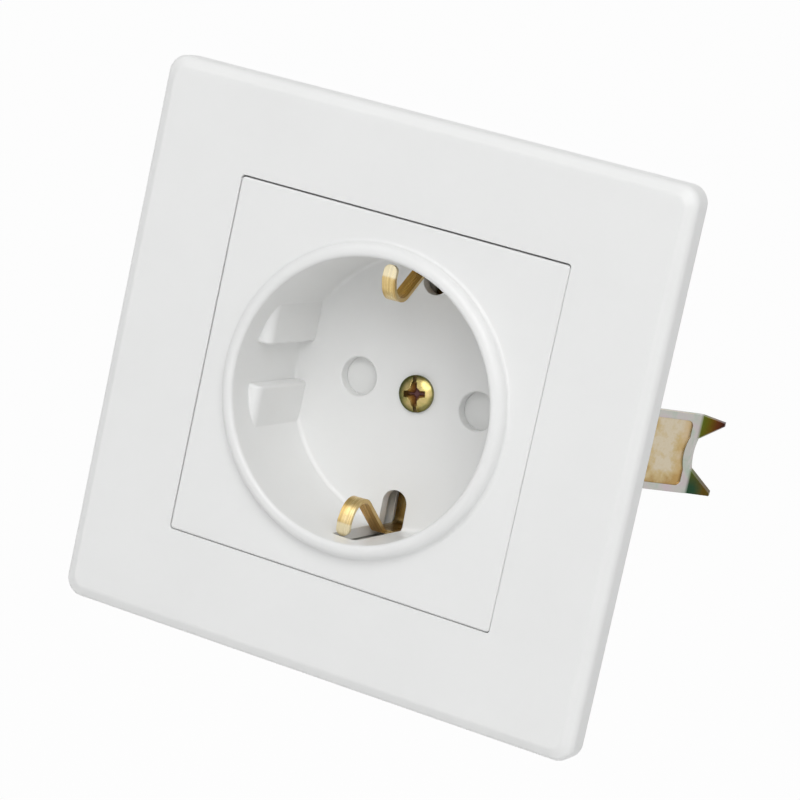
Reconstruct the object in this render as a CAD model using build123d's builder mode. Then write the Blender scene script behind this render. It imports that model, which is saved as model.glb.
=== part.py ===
from build123d import *

import os
from math import cos, radians, sin, sqrt, tan

# Flush wall socket for round-pin plugs with side earth clips.
# Millimetres. The wall is the plane y = 0: the front faces -Y, the base and claws reach to +Y, +Z is up.

# Cover frame
OPENING = 51.0
BORDER_SIDE = 15.2
BORDER_TOP = 13.95
FRAME_STANDOFF = 7.0
FRAME_CORNER = 2.6
FRAME_RIM = 3.9
FRAME_SKIN = 2.0
BEVEL_WIDTH = 1.6
BEVEL_DEPTH = 0.8
EDGE_ROUND = 1.0
FOOT_INSET = 3.0
FOOT_WALL = 1.6
SKIRT_WALL = 1.8
LEDGE_WIDTH = 1.8
LEDGE_THICKNESS = 1.4

# Centre plate and its well
GAP_SIDE = 0.1
GAP_TOP = 0.24
GAP_BOTTOM = 0.1
PLATE_THICKNESS = 2.0
PLATE_CORNER = 0.5
PLATE_EDGE_ROUND = 0.3
WELL_RADIUS = 19.6
WELL_WALL = 1.5
WELL_DEPTH = 16.4
FLOOR_THICKNESS = 1.8
FLOOR_FILLET = 0.6
RING_WIDTH = 2.0
RING_HEIGHT = 1.9
RING_INNER_ROUND = 0.6
RING_OUTER_ROUND = 1.3
RING_FOOT_ROUND = 0.5
RIB_HEIGHT = 2.1
RIB_CHANNEL = 5.9
RIB_START = 3.0
RIB_FRONT_ROUND = 1.3
RIB_SIDE_ROUND = 0.5

# Plug pins
PIN_PITCH = 19.0
PIN_RADIUS = 2.4
PIN_HOLE_RADIUS = 2.75
PIN_HOLE_LEAD = 0.15

# Shutter
SHUTTER_THICKNESS = 2.4
SHUTTER_PLAY = 0.1
SHUTTER_OVERLAP = 0.95
SHUTTER_BAR = 3.2
SHUTTER_RAMP = 0.8
BOSS_RADIUS = 3.4
BOSS_GAP = 0.8
SPRING_RADIUS = 0.9
SPRING_WIRE = 0.4
SPRING_TURNS = 6
SPRING_X = 7.0
SPRING_LENGTH = 10.6
SPRING_SEAT_WIDTH = 4.6

# Earth bow
CLIP_WIDTH = 2.0
CLIP_OFFSET = -1.05
CLIP_RUN_WIDTH = 3.4
STRIP = 0.6
CLIP_TIP_DEPTH = 3.4
CLIP_TIP_REACH = 19.1
CLIP_TIP_BEND = 0.8
CLIP_TIP_ROUND = 0.95
CLIP_FREE_DEPTH = 3.2
CLIP_FREE_REACH = 17.1
CLIP_PEAK_DEPTH = 4.9
CLIP_PEAK_REACH = 12.5
CLIP_PEAK_BEND = 3.0
CLIP_REAR_DEPTH = 14.4
CLIP_REAR_BEND = 0.8
CLIP_INSET = 0.2
STRIP_BEND = 1.2
CLIP_SLOT_WIDTH = 3.8
CLIP_SLOT_REACH = 14.15
BOW_TURN = 1.85
BOW_DROP = 0.5
BOW_HALF_WIDTH = 4.4
BOW_PLATE_HALF = 8.6
TAB_WIDTH = 2.7

# Base
BASE_CLEARANCE = 0.4
BASE_WALL = 1.5
BASE_FLAT = 0.3
BASE_FLANGE = 5.0
BASE_FLANGE_THICKNESS = 5.0
BASE_CHAMFER = 1.2
DECK_THICKNESS = 11.1
POCKET_DEPTH = 7.0
POCKET_CORNER = 1.2
SEAT_CLEARANCE = 0.2

# Contacts and terminals
CONTACT_SHEET = 0.8
CONTACT_GRIP = 0.1
CONTACT_SLIT = 1.6
CONTACT_LENGTH = 9.6
CONTACT_CLEARANCE = 0.7
TERMINAL_DROP = 10.8
TERMINAL_PLATE = 8.4
TERMINAL_SHANK = 1.5
TERMINAL_HEAD = 3.0
TERMINAL_HEAD_HEIGHT = 2.0
TERMINAL_SHANK_LENGTH = 6.0
WASHER_SIZE = 7.4
WASHER_THICKNESS = 0.8
EARTH_TERMINAL_Z = 14.6

# Screws
CENTRE_SHANK = 1.75
CENTRE_HEAD = 2.65
CENTRE_HEAD_HEIGHT = 1.3
CENTRE_SHANK_LENGTH = 15.0
CENTRE_TURN = 13.0
SCREW_CLEARANCE = 0.15
SLOT_WIDTH = 0.55
SLOT_DEPTH = 1.0
CROSS_LENGTH = 3.6
CROSS_WIDTH = 1.1
CROSS_DEPTH = 1.35
CROSS_TAPER = 18.0
HUB_RADIUS = 1.15
HUB_TAPER = 30.0
HEAD_RIM = 0.35
HEAD_ROUND = 0.6

# Mounting strap
STRAP_THICKNESS = 1.2
STRAP_CLEARANCE = 0.4
STRAP_CORNER = 6.0
BOX_PITCH = 60.0
BOX_HOLE_RADIUS = 2.1
RIVET_RADIUS = 1.5
RIVET_HEAD = 2.3
RIVET_HEAD_HEIGHT = 0.9
RIVET_SIDE = 15.2

# Claws
CLAW_SHEET = 1.2
CLAW_WIDTH = 11.4
CLAW_BEND = 2.0
CLAW_CLEARANCE = 0.7
CLAW_PIN_DEPTH = 3.6
CLAW_PIN_RADIUS = 1.0
CLAW_PIN_HEAD = 1.5
CLAW_PIN_HEAD_LENGTH = 0.6
CLAW_ARM_LENGTH = 14.0
CLAW_ARM_ANGLE = 20.0
CLAW_BLADE_LENGTH = 11.4
CLAW_BLADE_ANGLE = 37.7
CLAW_TOOTH_ANGLE = 76.0
CLAW_TOOTH_LENGTH = 3.4
CLAW_TOOTH_WIDTH = 3.6
CLAW_TIP_INSET = 0.4
CLAW_TIP_WIDTH = 0.5
CLAW_NOTCH = 0.2
CLAW_FOLD_BEND = 1.0
CLAW_PANEL_LENGTH = 8.0
CLAW_PANEL_END = 1.5
CLAW_PANEL_BORDER = 1.0
CLAW_PANEL_DEPTH = 0.25
CLAW_PANEL_CORNER = 0.8
CLAW_WAIST = 0.45
CLAW_WAIST_RADIUS = 6.1
CLAW_EAR_RADIUS = 2.2
CLAW_LEVER = 4.5
CLAW_SLOT_INSIDE = 2.4
CLAW_SLOT_OUTSIDE = 1.7
CLAW_SLOT_HALF = 1.7
CLAW_FLANGE_END = 3.0
CLAW_SCREW_RADIUS = 1.5
CLAW_SCREW_HEAD = 2.7
CLAW_SCREW_HEAD_HEIGHT = 1.8
CLAW_SCREW_LENGTH = 10.0
CLAW_NUT_SIZE = 5.5
CLAW_NUT_THICKNESS = 2.2
CLAW_NUT_GAP = 0.05
LUG_WIDTH = 3.2
LUG_GAP = 0.25
RUNNING_CLEARANCE = 0.05

# Two sizes closer than this are the same
SAME = 0.001

# Levels behind the wall plane, from front to back
FACE = -FRAME_STANDOFF
RING_TOP = FACE - RING_HEIGHT
PLATE_BACK = FACE + PLATE_THICKNESS
FLOOR = FACE + WELL_DEPTH
FLOOR_BACK = FLOOR + FLOOR_THICKNESS
SHUTTER_FRONT = FLOOR_BACK + SHUTTER_PLAY
SHUTTER_BACK = SHUTTER_FRONT + SHUTTER_THICKNESS
DECK = SHUTTER_BACK + SHUTTER_PLAY
BOW_FRONT = DECK + SEAT_CLEARANCE
BOW_BACK = BOW_FRONT + STRIP
POCKET_FLOOR = DECK + DECK_THICKNESS
BASE_BACK = POCKET_FLOOR + POCKET_DEPTH

# Widths and radii that follow from the sizes above
PLATE_WIDTH = OPENING - 2 * GAP_SIDE
PLATE_HEIGHT = OPENING - GAP_TOP - GAP_BOTTOM
FRAME_WIDTH = OPENING + 2 * BORDER_SIDE
FRAME_HEIGHT = OPENING + 2 * BORDER_TOP
FOOT_WIDTH = FRAME_WIDTH - 2 * FOOT_INSET
FOOT_HEIGHT = FRAME_HEIGHT - 2 * FOOT_INSET
CAVITY_WIDTH = FOOT_WIDTH - 2 * FOOT_WALL
CAVITY_HEIGHT = FOOT_HEIGHT - 2 * FOOT_WALL
STRAP_WIDTH = CAVITY_WIDTH - 2 * STRAP_CLEARANCE
STRAP_HEIGHT = CAVITY_HEIGHT - 2 * STRAP_CLEARANCE
SKIRT = OPENING + 2 * SKIRT_WALL
APERTURE = OPENING - 2 * LEDGE_WIDTH
WELL_OUTER = WELL_RADIUS + WELL_WALL
BORE_RADIUS = WELL_OUTER + BASE_CLEARANCE
BASE_RADIUS = BORE_RADIUS + BASE_WALL
BASE_SIDE = BASE_RADIUS - BASE_FLAT
FLANGE_RADIUS = BASE_RADIUS + BASE_FLANGE
RIVET_CIRCLE = BASE_RADIUS + BASE_FLANGE / 2
RIVET_Z = sqrt(RIVET_CIRCLE**2 - RIVET_SIDE**2)
PIN_X = PIN_PITCH / 2
PAD_HALF = PIN_HOLE_RADIUS + SHUTTER_OVERLAP
BAR_BOTTOM = BOSS_RADIUS + BOSS_GAP
BAR_TOP = BAR_BOTTOM + SHUTTER_BAR
SPRING_SEAT_Z = BAR_TOP + SPRING_LENGTH
CLIP_Z = WELL_RADIUS - CLIP_INSET
CLIP_START = CLIP_OFFSET - CLIP_WIDTH / 2
CLIP_RUN_MIDDLE = CLIP_START + CLIP_RUN_WIDTH / 2
CONTACT_INNER = PIN_RADIUS + CONTACT_GRIP
CONTACT_OUTER = CONTACT_INNER + CONTACT_SHEET
CHANNEL_RADIUS = CONTACT_OUTER + CONTACT_CLEARANCE
CLAW_PIN_X = BASE_SIDE + CLAW_CLEARANCE + CLAW_SHEET / 2 + CLAW_BEND
CLAW_SCREW_X = max(CLAW_PIN_X + CLAW_LEVER, SKIRT / 2 + STRAP_CLEARANCE + CLAW_SCREW_HEAD)
CLAW_FLANGE_Y = CLAW_PIN_DEPTH - CLAW_BEND
CLAW_FLANGE_BACK = CLAW_FLANGE_Y + CLAW_SHEET / 2
EAR_INNER = CLAW_WIDTH / 2 - CLAW_SHEET
LUG_OUTER = EAR_INNER - LUG_GAP
LUG_INNER = LUG_OUTER - STRAP_THICKNESS


def wall_plane(depth):
    """Sketch plane parallel to the wall; a positive extrusion from it comes towards the front."""
    return Plane.XZ.offset(-depth)


def turned_plane(turn, depth, drop=0):
    """Sketch plane like wall_plane, lowered by a drop and turned about the socket's axis."""
    sideways = (cos(radians(turn)), 0, sin(radians(turn)))
    return Plane(origin=(0, depth, -drop), x_dir=sideways, z_dir=(0, -1, 0))


def bow_plane(depth, drop=0):
    """Sketch plane that is turned with the earth bow."""
    return turned_plane(BOW_TURN, depth, drop)


def along(angle, length):
    """Step of a length in the XY plane, turned from straight back towards the outside."""
    return (length * sin(radians(angle)), length * cos(radians(angle)))


def finish(builder, label):
    builder.part.label = label
    export_step(builder.part, f"parts/{label}.step")


os.makedirs("parts", exist_ok=True)

# Cover frame: bevelled rim, recessed foot on the wall, ledge and skirt for the plate
with BuildPart() as outer_frame:
    rim_back = FACE + FRAME_RIM
    bevel_back = FACE + BEVEL_DEPTH
    with BuildSketch(wall_plane(rim_back)):
        RectangleRounded(FRAME_WIDTH, FRAME_HEIGHT, FRAME_CORNER)
    extrude(amount=rim_back - bevel_back)
    with BuildSketch(wall_plane(bevel_back)):
        RectangleRounded(FRAME_WIDTH, FRAME_HEIGHT, FRAME_CORNER)
    with BuildSketch(wall_plane(FACE)):
        RectangleRounded(
            FRAME_WIDTH - 2 * BEVEL_WIDTH, FRAME_HEIGHT - 2 * BEVEL_WIDTH, FRAME_CORNER - BEVEL_WIDTH / 2
        )
    loft(ruled=True)
    bevel_edges = outer_frame.edges().filter_by_position(Axis.Y, FACE - SAME, bevel_back + SAME)
    fillet(bevel_edges.filter_by(lambda edge: edge.bounding_box().size.Y < EDGE_ROUND), EDGE_ROUND)
    with BuildSketch(wall_plane(0)):
        RectangleRounded(FOOT_WIDTH, FOOT_HEIGHT, FRAME_CORNER)
    extrude(amount=-rim_back)
    with BuildSketch(wall_plane(0)):
        RectangleRounded(CAVITY_WIDTH, CAVITY_HEIGHT, FRAME_CORNER)
    extrude(amount=-(FACE + FRAME_SKIN), mode=Mode.SUBTRACT)
    with BuildSketch(wall_plane(-STRAP_THICKNESS)):
        Rectangle(SKIRT, SKIRT)
        Rectangle(OPENING, OPENING, mode=Mode.SUBTRACT)
    extrude(amount=-STRAP_THICKNESS - (FACE + FRAME_SKIN))
    with BuildSketch(wall_plane(PLATE_BACK + LEDGE_THICKNESS)):
        Rectangle(SKIRT, SKIRT)
    extrude(amount=LEDGE_THICKNESS)
    with BuildSketch(wall_plane(PLATE_BACK)):
        RectangleRounded(OPENING, OPENING, PLATE_CORNER)
    extrude(amount=PLATE_THICKNESS, mode=Mode.SUBTRACT)
    with BuildSketch(wall_plane(PLATE_BACK + LEDGE_THICKNESS)):
        Rectangle(APERTURE, APERTURE)
    extrude(amount=LEDGE_THICKNESS, mode=Mode.SUBTRACT)
finish(outer_frame, "outer_frame")

# Guide ribs of the well: two blocks with a channel between them on each side, rounded towards the mouth
with BuildPart() as guide_ribs:
    rib_front = FACE + RIB_START
    rib_inner = WELL_RADIUS - RIB_HEIGHT
    for side in (-1, 1):
        with BuildSketch(wall_plane(FLOOR)):
            Circle(WELL_RADIUS + WELL_WALL / 2)
            with Locations((side * (rib_inner + WELL_RADIUS / 2), 0)):
                Rectangle(WELL_RADIUS, 2 * WELL_RADIUS, mode=Mode.INTERSECT)
            Rectangle(3 * WELL_RADIUS, RIB_CHANNEL, mode=Mode.SUBTRACT)
        extrude(amount=FLOOR - rib_front)
    front_edges = guide_ribs.edges().filter_by_position(Axis.Y, rib_front - SAME, rib_front + SAME)
    fillet(front_edges.filter_by(Axis.Z), RIB_FRONT_ROUND)
    channel_edges = guide_ribs.edges().filter_by(
        lambda edge: abs(abs(edge.center().Z) - RIB_CHANNEL / 2) < SAME
        and edge.center().Y < FLOOR - SAME
        and abs(edge.center().X) < WELL_RADIUS
    )
    fillet(channel_edges, RIB_SIDE_ROUND)

# Centre plate: flat square, raised ring, round well with ribs, pin holes, slots for the earth clips
with BuildPart() as centre_plate:
    ring_outer = WELL_RADIUS + RING_WIDTH
    with BuildSketch(wall_plane(PLATE_BACK)):
        with Locations((0, (GAP_BOTTOM - GAP_TOP) / 2)):
            RectangleRounded(PLATE_WIDTH, PLATE_HEIGHT, PLATE_CORNER)
    extrude(amount=PLATE_THICKNESS)
    fillet(centre_plate.faces().sort_by(Axis.Y)[0].edges(), PLATE_EDGE_ROUND)
    with BuildSketch(wall_plane(PLATE_BACK)):
        Circle(ring_outer)
    extrude(amount=PLATE_BACK - RING_TOP)
    fillet(centre_plate.faces().sort_by(Axis.Y)[0].edges(), RING_OUTER_ROUND)
    ring_edges = centre_plate.edges().filter_by(
        lambda edge: edge.geom_type == GeomType.CIRCLE and abs(edge.radius - ring_outer) < SAME
    )
    fillet(ring_edges.sort_by(Axis.Y)[-1], RING_FOOT_ROUND)
    with BuildSketch(wall_plane(FLOOR_BACK)):
        Circle(WELL_OUTER)
    extrude(amount=FLOOR_BACK - PLATE_BACK)
    with BuildSketch(wall_plane(BOW_FRONT)):
        Circle(BOSS_RADIUS)
    extrude(amount=BOW_FRONT - FLOOR_BACK)
    with BuildSketch(Plane.XY):
        with BuildLine():
            Polyline((0, FLOOR), (0, RING_TOP), (WELL_RADIUS + RING_INNER_ROUND, RING_TOP))
            RadiusArc(
                (WELL_RADIUS + RING_INNER_ROUND, RING_TOP),
                (WELL_RADIUS, RING_TOP + RING_INNER_ROUND),
                RING_INNER_ROUND,
            )
            Line((WELL_RADIUS, RING_TOP + RING_INNER_ROUND), (WELL_RADIUS, FLOOR - FLOOR_FILLET))
            RadiusArc(
                (WELL_RADIUS, FLOOR - FLOOR_FILLET), (WELL_RADIUS - FLOOR_FILLET, FLOOR), -FLOOR_FILLET
            )
            Line((WELL_RADIUS - FLOOR_FILLET, FLOOR), (0, FLOOR))
        make_face()
    revolve(axis=Axis.Y, mode=Mode.SUBTRACT)
    add(guide_ribs.part)
    with BuildSketch(wall_plane(FLOOR_BACK)):
        with Locations((-PIN_X, 0), (PIN_X, 0)):
            Circle(PIN_HOLE_RADIUS)
    extrude(amount=FLOOR_THICKNESS, mode=Mode.SUBTRACT)
    pin_mouths = centre_plate.edges().filter_by(
        lambda edge: edge.geom_type == GeomType.CIRCLE and abs(edge.radius - PIN_HOLE_RADIUS) < SAME
    )
    chamfer(pin_mouths.group_by(Axis.Y)[0], PIN_HOLE_LEAD)
    with BuildSketch(wall_plane(BOW_FRONT)):
        Circle(CENTRE_SHANK + SCREW_CLEARANCE)
    extrude(amount=BOW_FRONT - FLOOR, mode=Mode.SUBTRACT)
    slot_front = FACE + CLIP_FREE_DEPTH - CLIP_TIP_BEND
    slot_end = WELL_OUTER + BASE_CLEARANCE / 2
    for side in (-1, 1):
        slot_start = CLIP_SLOT_REACH + CLIP_SLOT_WIDTH / 2
        with BuildSketch(bow_plane(FLOOR_BACK)):
            with Locations((CLIP_RUN_MIDDLE, side * slot_start)):
                Circle(CLIP_SLOT_WIDTH / 2)
            with Locations((CLIP_RUN_MIDDLE, side * (slot_start + slot_end) / 2)):
                Rectangle(CLIP_SLOT_WIDTH, slot_end - slot_start)
        extrude(amount=FLOOR_THICKNESS + FLOOR_FILLET, mode=Mode.SUBTRACT)
        with BuildSketch(bow_plane(FLOOR)):
            with Locations((CLIP_RUN_MIDDLE, side * (WELL_RADIUS - FLOOR_FILLET + slot_end) / 2)):
                Rectangle(CLIP_SLOT_WIDTH, slot_end - WELL_RADIUS + FLOOR_FILLET)
        extrude(amount=FLOOR - slot_front, mode=Mode.SUBTRACT)
finish(centre_plate, "centre_plate")

# Shutter: two pads behind the pin holes, joined by a bar that passes over the screw boss
with BuildPart() as safety_shutter:
    with BuildSketch(wall_plane(SHUTTER_BACK)):
        with Locations((-PIN_X, 0), (PIN_X, 0)):
            Rectangle(2 * PAD_HALF, 2 * PAD_HALF)
        with Locations((0, (PAD_HALF - SHUTTER_OVERLAP + BAR_TOP) / 2)):
            Rectangle(2 * (PIN_X + PAD_HALF), BAR_TOP - PAD_HALF + SHUTTER_OVERLAP)
        with Locations((0, 0)):
            Rectangle(2 * (PIN_X - PAD_HALF), 2 * BAR_BOTTOM, mode=Mode.SUBTRACT)
    extrude(amount=SHUTTER_THICKNESS)
    ramp_edges = safety_shutter.faces().sort_by(Axis.Y)[0].edges().filter_by(Axis.X).group_by(Axis.Z)[0]
    chamfer(ramp_edges, SHUTTER_RAMP)
finish(safety_shutter, "safety_shutter")

# Return springs between the shutter's bar and the seats in the base
for side, name in ((-1, "left"), (1, "right")):
    spring_y = (SHUTTER_FRONT + SHUTTER_BACK) / 2
    with BuildPart() as shutter_spring:
        with BuildLine() as coil:
            Helix(
                pitch=(SPRING_LENGTH - SPRING_WIRE) / SPRING_TURNS,
                height=SPRING_LENGTH - SPRING_WIRE,
                radius=SPRING_RADIUS,
                center=(side * SPRING_X, spring_y, BAR_TOP + SPRING_WIRE / 2),
            )
        with BuildSketch(Plane(origin=coil.line @ 0, z_dir=coil.line % 0)):
            Circle(SPRING_WIRE / 2)
        sweep(is_frenet=True)
    finish(shutter_spring, f"{name}_shutter_spring")

# Earth bow: one strip whose ends are the two clips, with a plate under the centre screw and a terminal tab
bow_side = Plane(origin=(0, 0, -BOW_DROP), x_dir=(0, 1, 0), z_dir=bow_plane(0).x_dir).offset(CLIP_START)
bow_middle = (BOW_FRONT + BOW_BACK) / 2
clip_rear = FACE + CLIP_REAR_DEPTH
tab_z = BOW_PLATE_HALF + STRIP / 2
tab_inner = BOW_HALF_WIDTH - TAB_WIDTH
terminal_middle = POCKET_FLOOR + STRIP / 2
terminal_end = EARTH_TERMINAL_Z + TERMINAL_PLATE / 2
with BuildPart() as earth_bridge:
    for up in (-1, 1):
        with BuildSketch(bow_side):
            with BuildLine():
                FilletPolyline(
                    (FACE + CLIP_TIP_DEPTH, up * CLIP_TIP_REACH),
                    (FACE + CLIP_FREE_DEPTH, up * CLIP_FREE_REACH),
                    (FACE + CLIP_PEAK_DEPTH, up * CLIP_PEAK_REACH),
                    (clip_rear, up * CLIP_Z),
                    (FLOOR, up * CLIP_Z),
                    radius=[CLIP_TIP_BEND, CLIP_PEAK_BEND, CLIP_REAR_BEND],
                )
            trace(line_width=STRIP)
        extrude(amount=CLIP_WIDTH)
    clip_ends = earth_bridge.faces().filter_by(lambda face: abs(face.area - STRIP * CLIP_WIDTH) < SAME)
    tip_edges = clip_ends.group_by(Axis.Y)[0].edges()
    fillet(tip_edges.filter_by(lambda edge: abs(edge.length - STRIP) < SAME), CLIP_TIP_ROUND)
    with BuildSketch(bow_side):
        with BuildLine():
            FilletPolyline(
                (clip_rear, CLIP_Z),
                (bow_middle, CLIP_Z),
                (bow_middle, -CLIP_Z),
                (clip_rear, -CLIP_Z),
                radius=STRIP_BEND,
            )
        trace(line_width=STRIP)
    extrude(amount=CLIP_RUN_WIDTH)
    with BuildSketch(bow_plane(BOW_BACK, BOW_DROP)):
        Rectangle(2 * BOW_HALF_WIDTH, 2 * BOW_PLATE_HALF)
    extrude(amount=STRIP)
    with BuildSketch(Plane.YZ.offset(tab_inner)):
        with BuildLine():
            FilletPolyline(
                (bow_middle, BOW_PLATE_HALF - TAB_WIDTH),
                (bow_middle, tab_z),
                (terminal_middle, tab_z),
                (terminal_middle, terminal_end),
                radius=STRIP_BEND,
            )
        trace(line_width=STRIP)
    extrude(amount=TAB_WIDTH)
    with BuildSketch(wall_plane(POCKET_FLOOR + STRIP)):
        with Locations((0, EARTH_TERMINAL_Z)):
            Rectangle(2 * BOW_HALF_WIDTH, TERMINAL_PLATE - 2 * STRIP)
            Circle(TERMINAL_SHANK + SCREW_CLEARANCE, mode=Mode.SUBTRACT)
    extrude(amount=STRIP)
    with BuildSketch(wall_plane(BOW_BACK)):
        Circle(CENTRE_SHANK + RUNNING_CLEARANCE)
    extrude(amount=STRIP, mode=Mode.SUBTRACT)
finish(earth_bridge, "earth_bridge")

# Sleeve contacts: a plate with a slit sleeve in front of it and a hole for the terminal screw
contact_top = CONTACT_OUTER + SEAT_CLEARANCE
contact_bottom = TERMINAL_DROP + TERMINAL_PLATE / 2
contact_height = contact_top + contact_bottom
contact_z = (contact_top - contact_bottom) / 2
for side, name in ((-1, "left"), (1, "right")):
    with BuildPart() as contact:
        with BuildSketch(wall_plane(POCKET_FLOOR + CONTACT_SHEET)):
            with Locations((side * PIN_X, contact_z)):
                RectangleRounded(TERMINAL_PLATE, contact_height, POCKET_CORNER)
        extrude(amount=CONTACT_SHEET)
        with BuildSketch(wall_plane(POCKET_FLOOR)):
            with Locations((side * PIN_X, 0)):
                Circle(CONTACT_OUTER)
        extrude(amount=CONTACT_LENGTH)
        with BuildSketch(wall_plane(POCKET_FLOOR + CONTACT_SHEET)):
            with Locations((side * PIN_X, 0)):
                Circle(CONTACT_INNER)
        extrude(amount=CONTACT_SHEET + CONTACT_LENGTH, mode=Mode.SUBTRACT)
        with BuildSketch(wall_plane(POCKET_FLOOR - CONTACT_SLIT)):
            with Locations((side * PIN_X, 0)):
                Rectangle(CONTACT_SLIT, 3 * CONTACT_OUTER)
        extrude(amount=CONTACT_LENGTH, mode=Mode.SUBTRACT)
        with BuildSketch(wall_plane(POCKET_FLOOR + CONTACT_SHEET)):
            with Locations((side * PIN_X, -TERMINAL_DROP)):
                Circle(TERMINAL_SHANK + SCREW_CLEARANCE)
        extrude(amount=CONTACT_SHEET, mode=Mode.SUBTRACT)
    finish(contact, f"{name}_contact")

# Terminals: name, place and thickness of the plate under the washer
TERMINALS = (
    ("left", (-PIN_X, -TERMINAL_DROP), CONTACT_SHEET),
    ("right", (PIN_X, -TERMINAL_DROP), CONTACT_SHEET),
    ("earth", (0, EARTH_TERMINAL_Z), STRIP),
)

# Base: cup round the well, deck behind the shutter, channels for the contacts, pockets for the terminals
flange_top = BOX_PITCH / 2 - BOX_HOLE_RADIUS - BASE_CLEARANCE - BASE_WALL
bow_room = BOW_PLATE_HALF * sin(radians(BOW_TURN)) + SEAT_CLEARANCE
with BuildPart() as socket_base:
    with BuildSketch(Plane.XY):
        with BuildLine():
            Polyline(
                (0, 0),
                (BASE_RADIUS, 0),
                (BASE_RADIUS, BASE_BACK - BASE_CHAMFER),
                (BASE_RADIUS - BASE_CHAMFER, BASE_BACK),
                (0, BASE_BACK),
                close=True,
            )
        make_face()
    revolve(axis=Axis.Y)
    with BuildSketch(wall_plane(BASE_BACK)):
        Rectangle(2 * BASE_SIDE, 3 * BASE_RADIUS)
    extrude(amount=BASE_BACK, mode=Mode.INTERSECT)
    with BuildSketch(wall_plane(BASE_FLANGE_THICKNESS)):
        Circle(FLANGE_RADIUS)
        Rectangle(2 * BASE_SIDE, 2 * flange_top, mode=Mode.INTERSECT)
    extrude(amount=BASE_FLANGE_THICKNESS)
    with BuildSketch(wall_plane(DECK)):
        Circle(BORE_RADIUS)
    extrude(amount=DECK, mode=Mode.SUBTRACT)
    for side in (-1, 1):
        with BuildSketch(wall_plane(DECK)):
            Circle(BORE_RADIUS + BASE_WALL / 2)
            with Locations((side * SPRING_X, SPRING_SEAT_Z + BORE_RADIUS / 2)):
                Rectangle(SPRING_SEAT_WIDTH, BORE_RADIUS, mode=Mode.INTERSECT)
        extrude(amount=DECK - SHUTTER_FRONT)
    with BuildSketch(wall_plane(BOW_BACK)):
        Rectangle(2 * (BOW_HALF_WIDTH + bow_room), 2 * (BOW_PLATE_HALF + BOW_DROP + bow_room))
    extrude(amount=BOW_BACK - DECK, mode=Mode.SUBTRACT)
    with BuildSketch(bow_plane(BOW_BACK, BOW_DROP)):
        with Locations((CLIP_RUN_MIDDLE, 0)):
            Rectangle(CLIP_SLOT_WIDTH, 2 * (CLIP_Z + STRIP))
    extrude(amount=BOW_BACK - DECK, mode=Mode.SUBTRACT)
    with BuildSketch(wall_plane(POCKET_FLOOR)):
        with Locations((-PIN_X, 0), (PIN_X, 0)):
            Circle(CHANNEL_RADIUS)
        with Locations((tab_inner + TAB_WIDTH / 2, tab_z)):
            Rectangle(TAB_WIDTH + 2 * SEAT_CLEARANCE, 2 * STRIP_BEND)
    extrude(amount=DECK_THICKNESS, mode=Mode.SUBTRACT)
    with BuildSketch(wall_plane(BASE_BACK)):
        with Locations((-PIN_X, contact_z), (PIN_X, contact_z)):
            RectangleRounded(
                TERMINAL_PLATE + 2 * SEAT_CLEARANCE, contact_height + 2 * SEAT_CLEARANCE, POCKET_CORNER
            )
        earth_bottom = tab_z - STRIP / 2 - SEAT_CLEARANCE
        earth_top = terminal_end + SEAT_CLEARANCE
        with Locations((0, (earth_bottom + earth_top) / 2)):
            Rectangle(2 * (BOW_HALF_WIDTH + SEAT_CLEARANCE), earth_top - earth_bottom)
    extrude(amount=POCKET_DEPTH, mode=Mode.SUBTRACT)
    with BuildSketch(wall_plane(POCKET_FLOOR)):
        with Locations(*[spot for name, spot, sheet in TERMINALS]):
            Circle(TERMINAL_SHANK + SCREW_CLEARANCE)
    extrude(amount=TERMINAL_SHANK_LENGTH, mode=Mode.SUBTRACT)
    with BuildSketch(wall_plane(FLOOR + CENTRE_SHANK_LENGTH + SEAT_CLEARANCE)):
        Circle(CENTRE_SHANK + SCREW_CLEARANCE)
    extrude(amount=CENTRE_SHANK_LENGTH, mode=Mode.SUBTRACT)
    with BuildSketch(wall_plane(BASE_FLANGE_THICKNESS)):
        with GridLocations(2 * RIVET_SIDE, 2 * RIVET_Z, 2, 2):
            Circle(RIVET_RADIUS + RUNNING_CLEARANCE)
    extrude(amount=BASE_FLANGE_THICKNESS, mode=Mode.SUBTRACT)
finish(socket_base, "socket_base")

# Clamp washers on the terminals
for name, (x, z), sheet in TERMINALS:
    with BuildPart() as clamp_washer:
        with BuildSketch(wall_plane(POCKET_FLOOR + sheet + WASHER_THICKNESS)):
            with Locations((x, z)):
                RectangleRounded(WASHER_SIZE, WASHER_SIZE, POCKET_CORNER)
                Circle(TERMINAL_SHANK + SCREW_CLEARANCE, mode=Mode.SUBTRACT)
        extrude(amount=WASHER_THICKNESS)
    finish(clamp_washer, f"{name}_clamp_washer")


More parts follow.
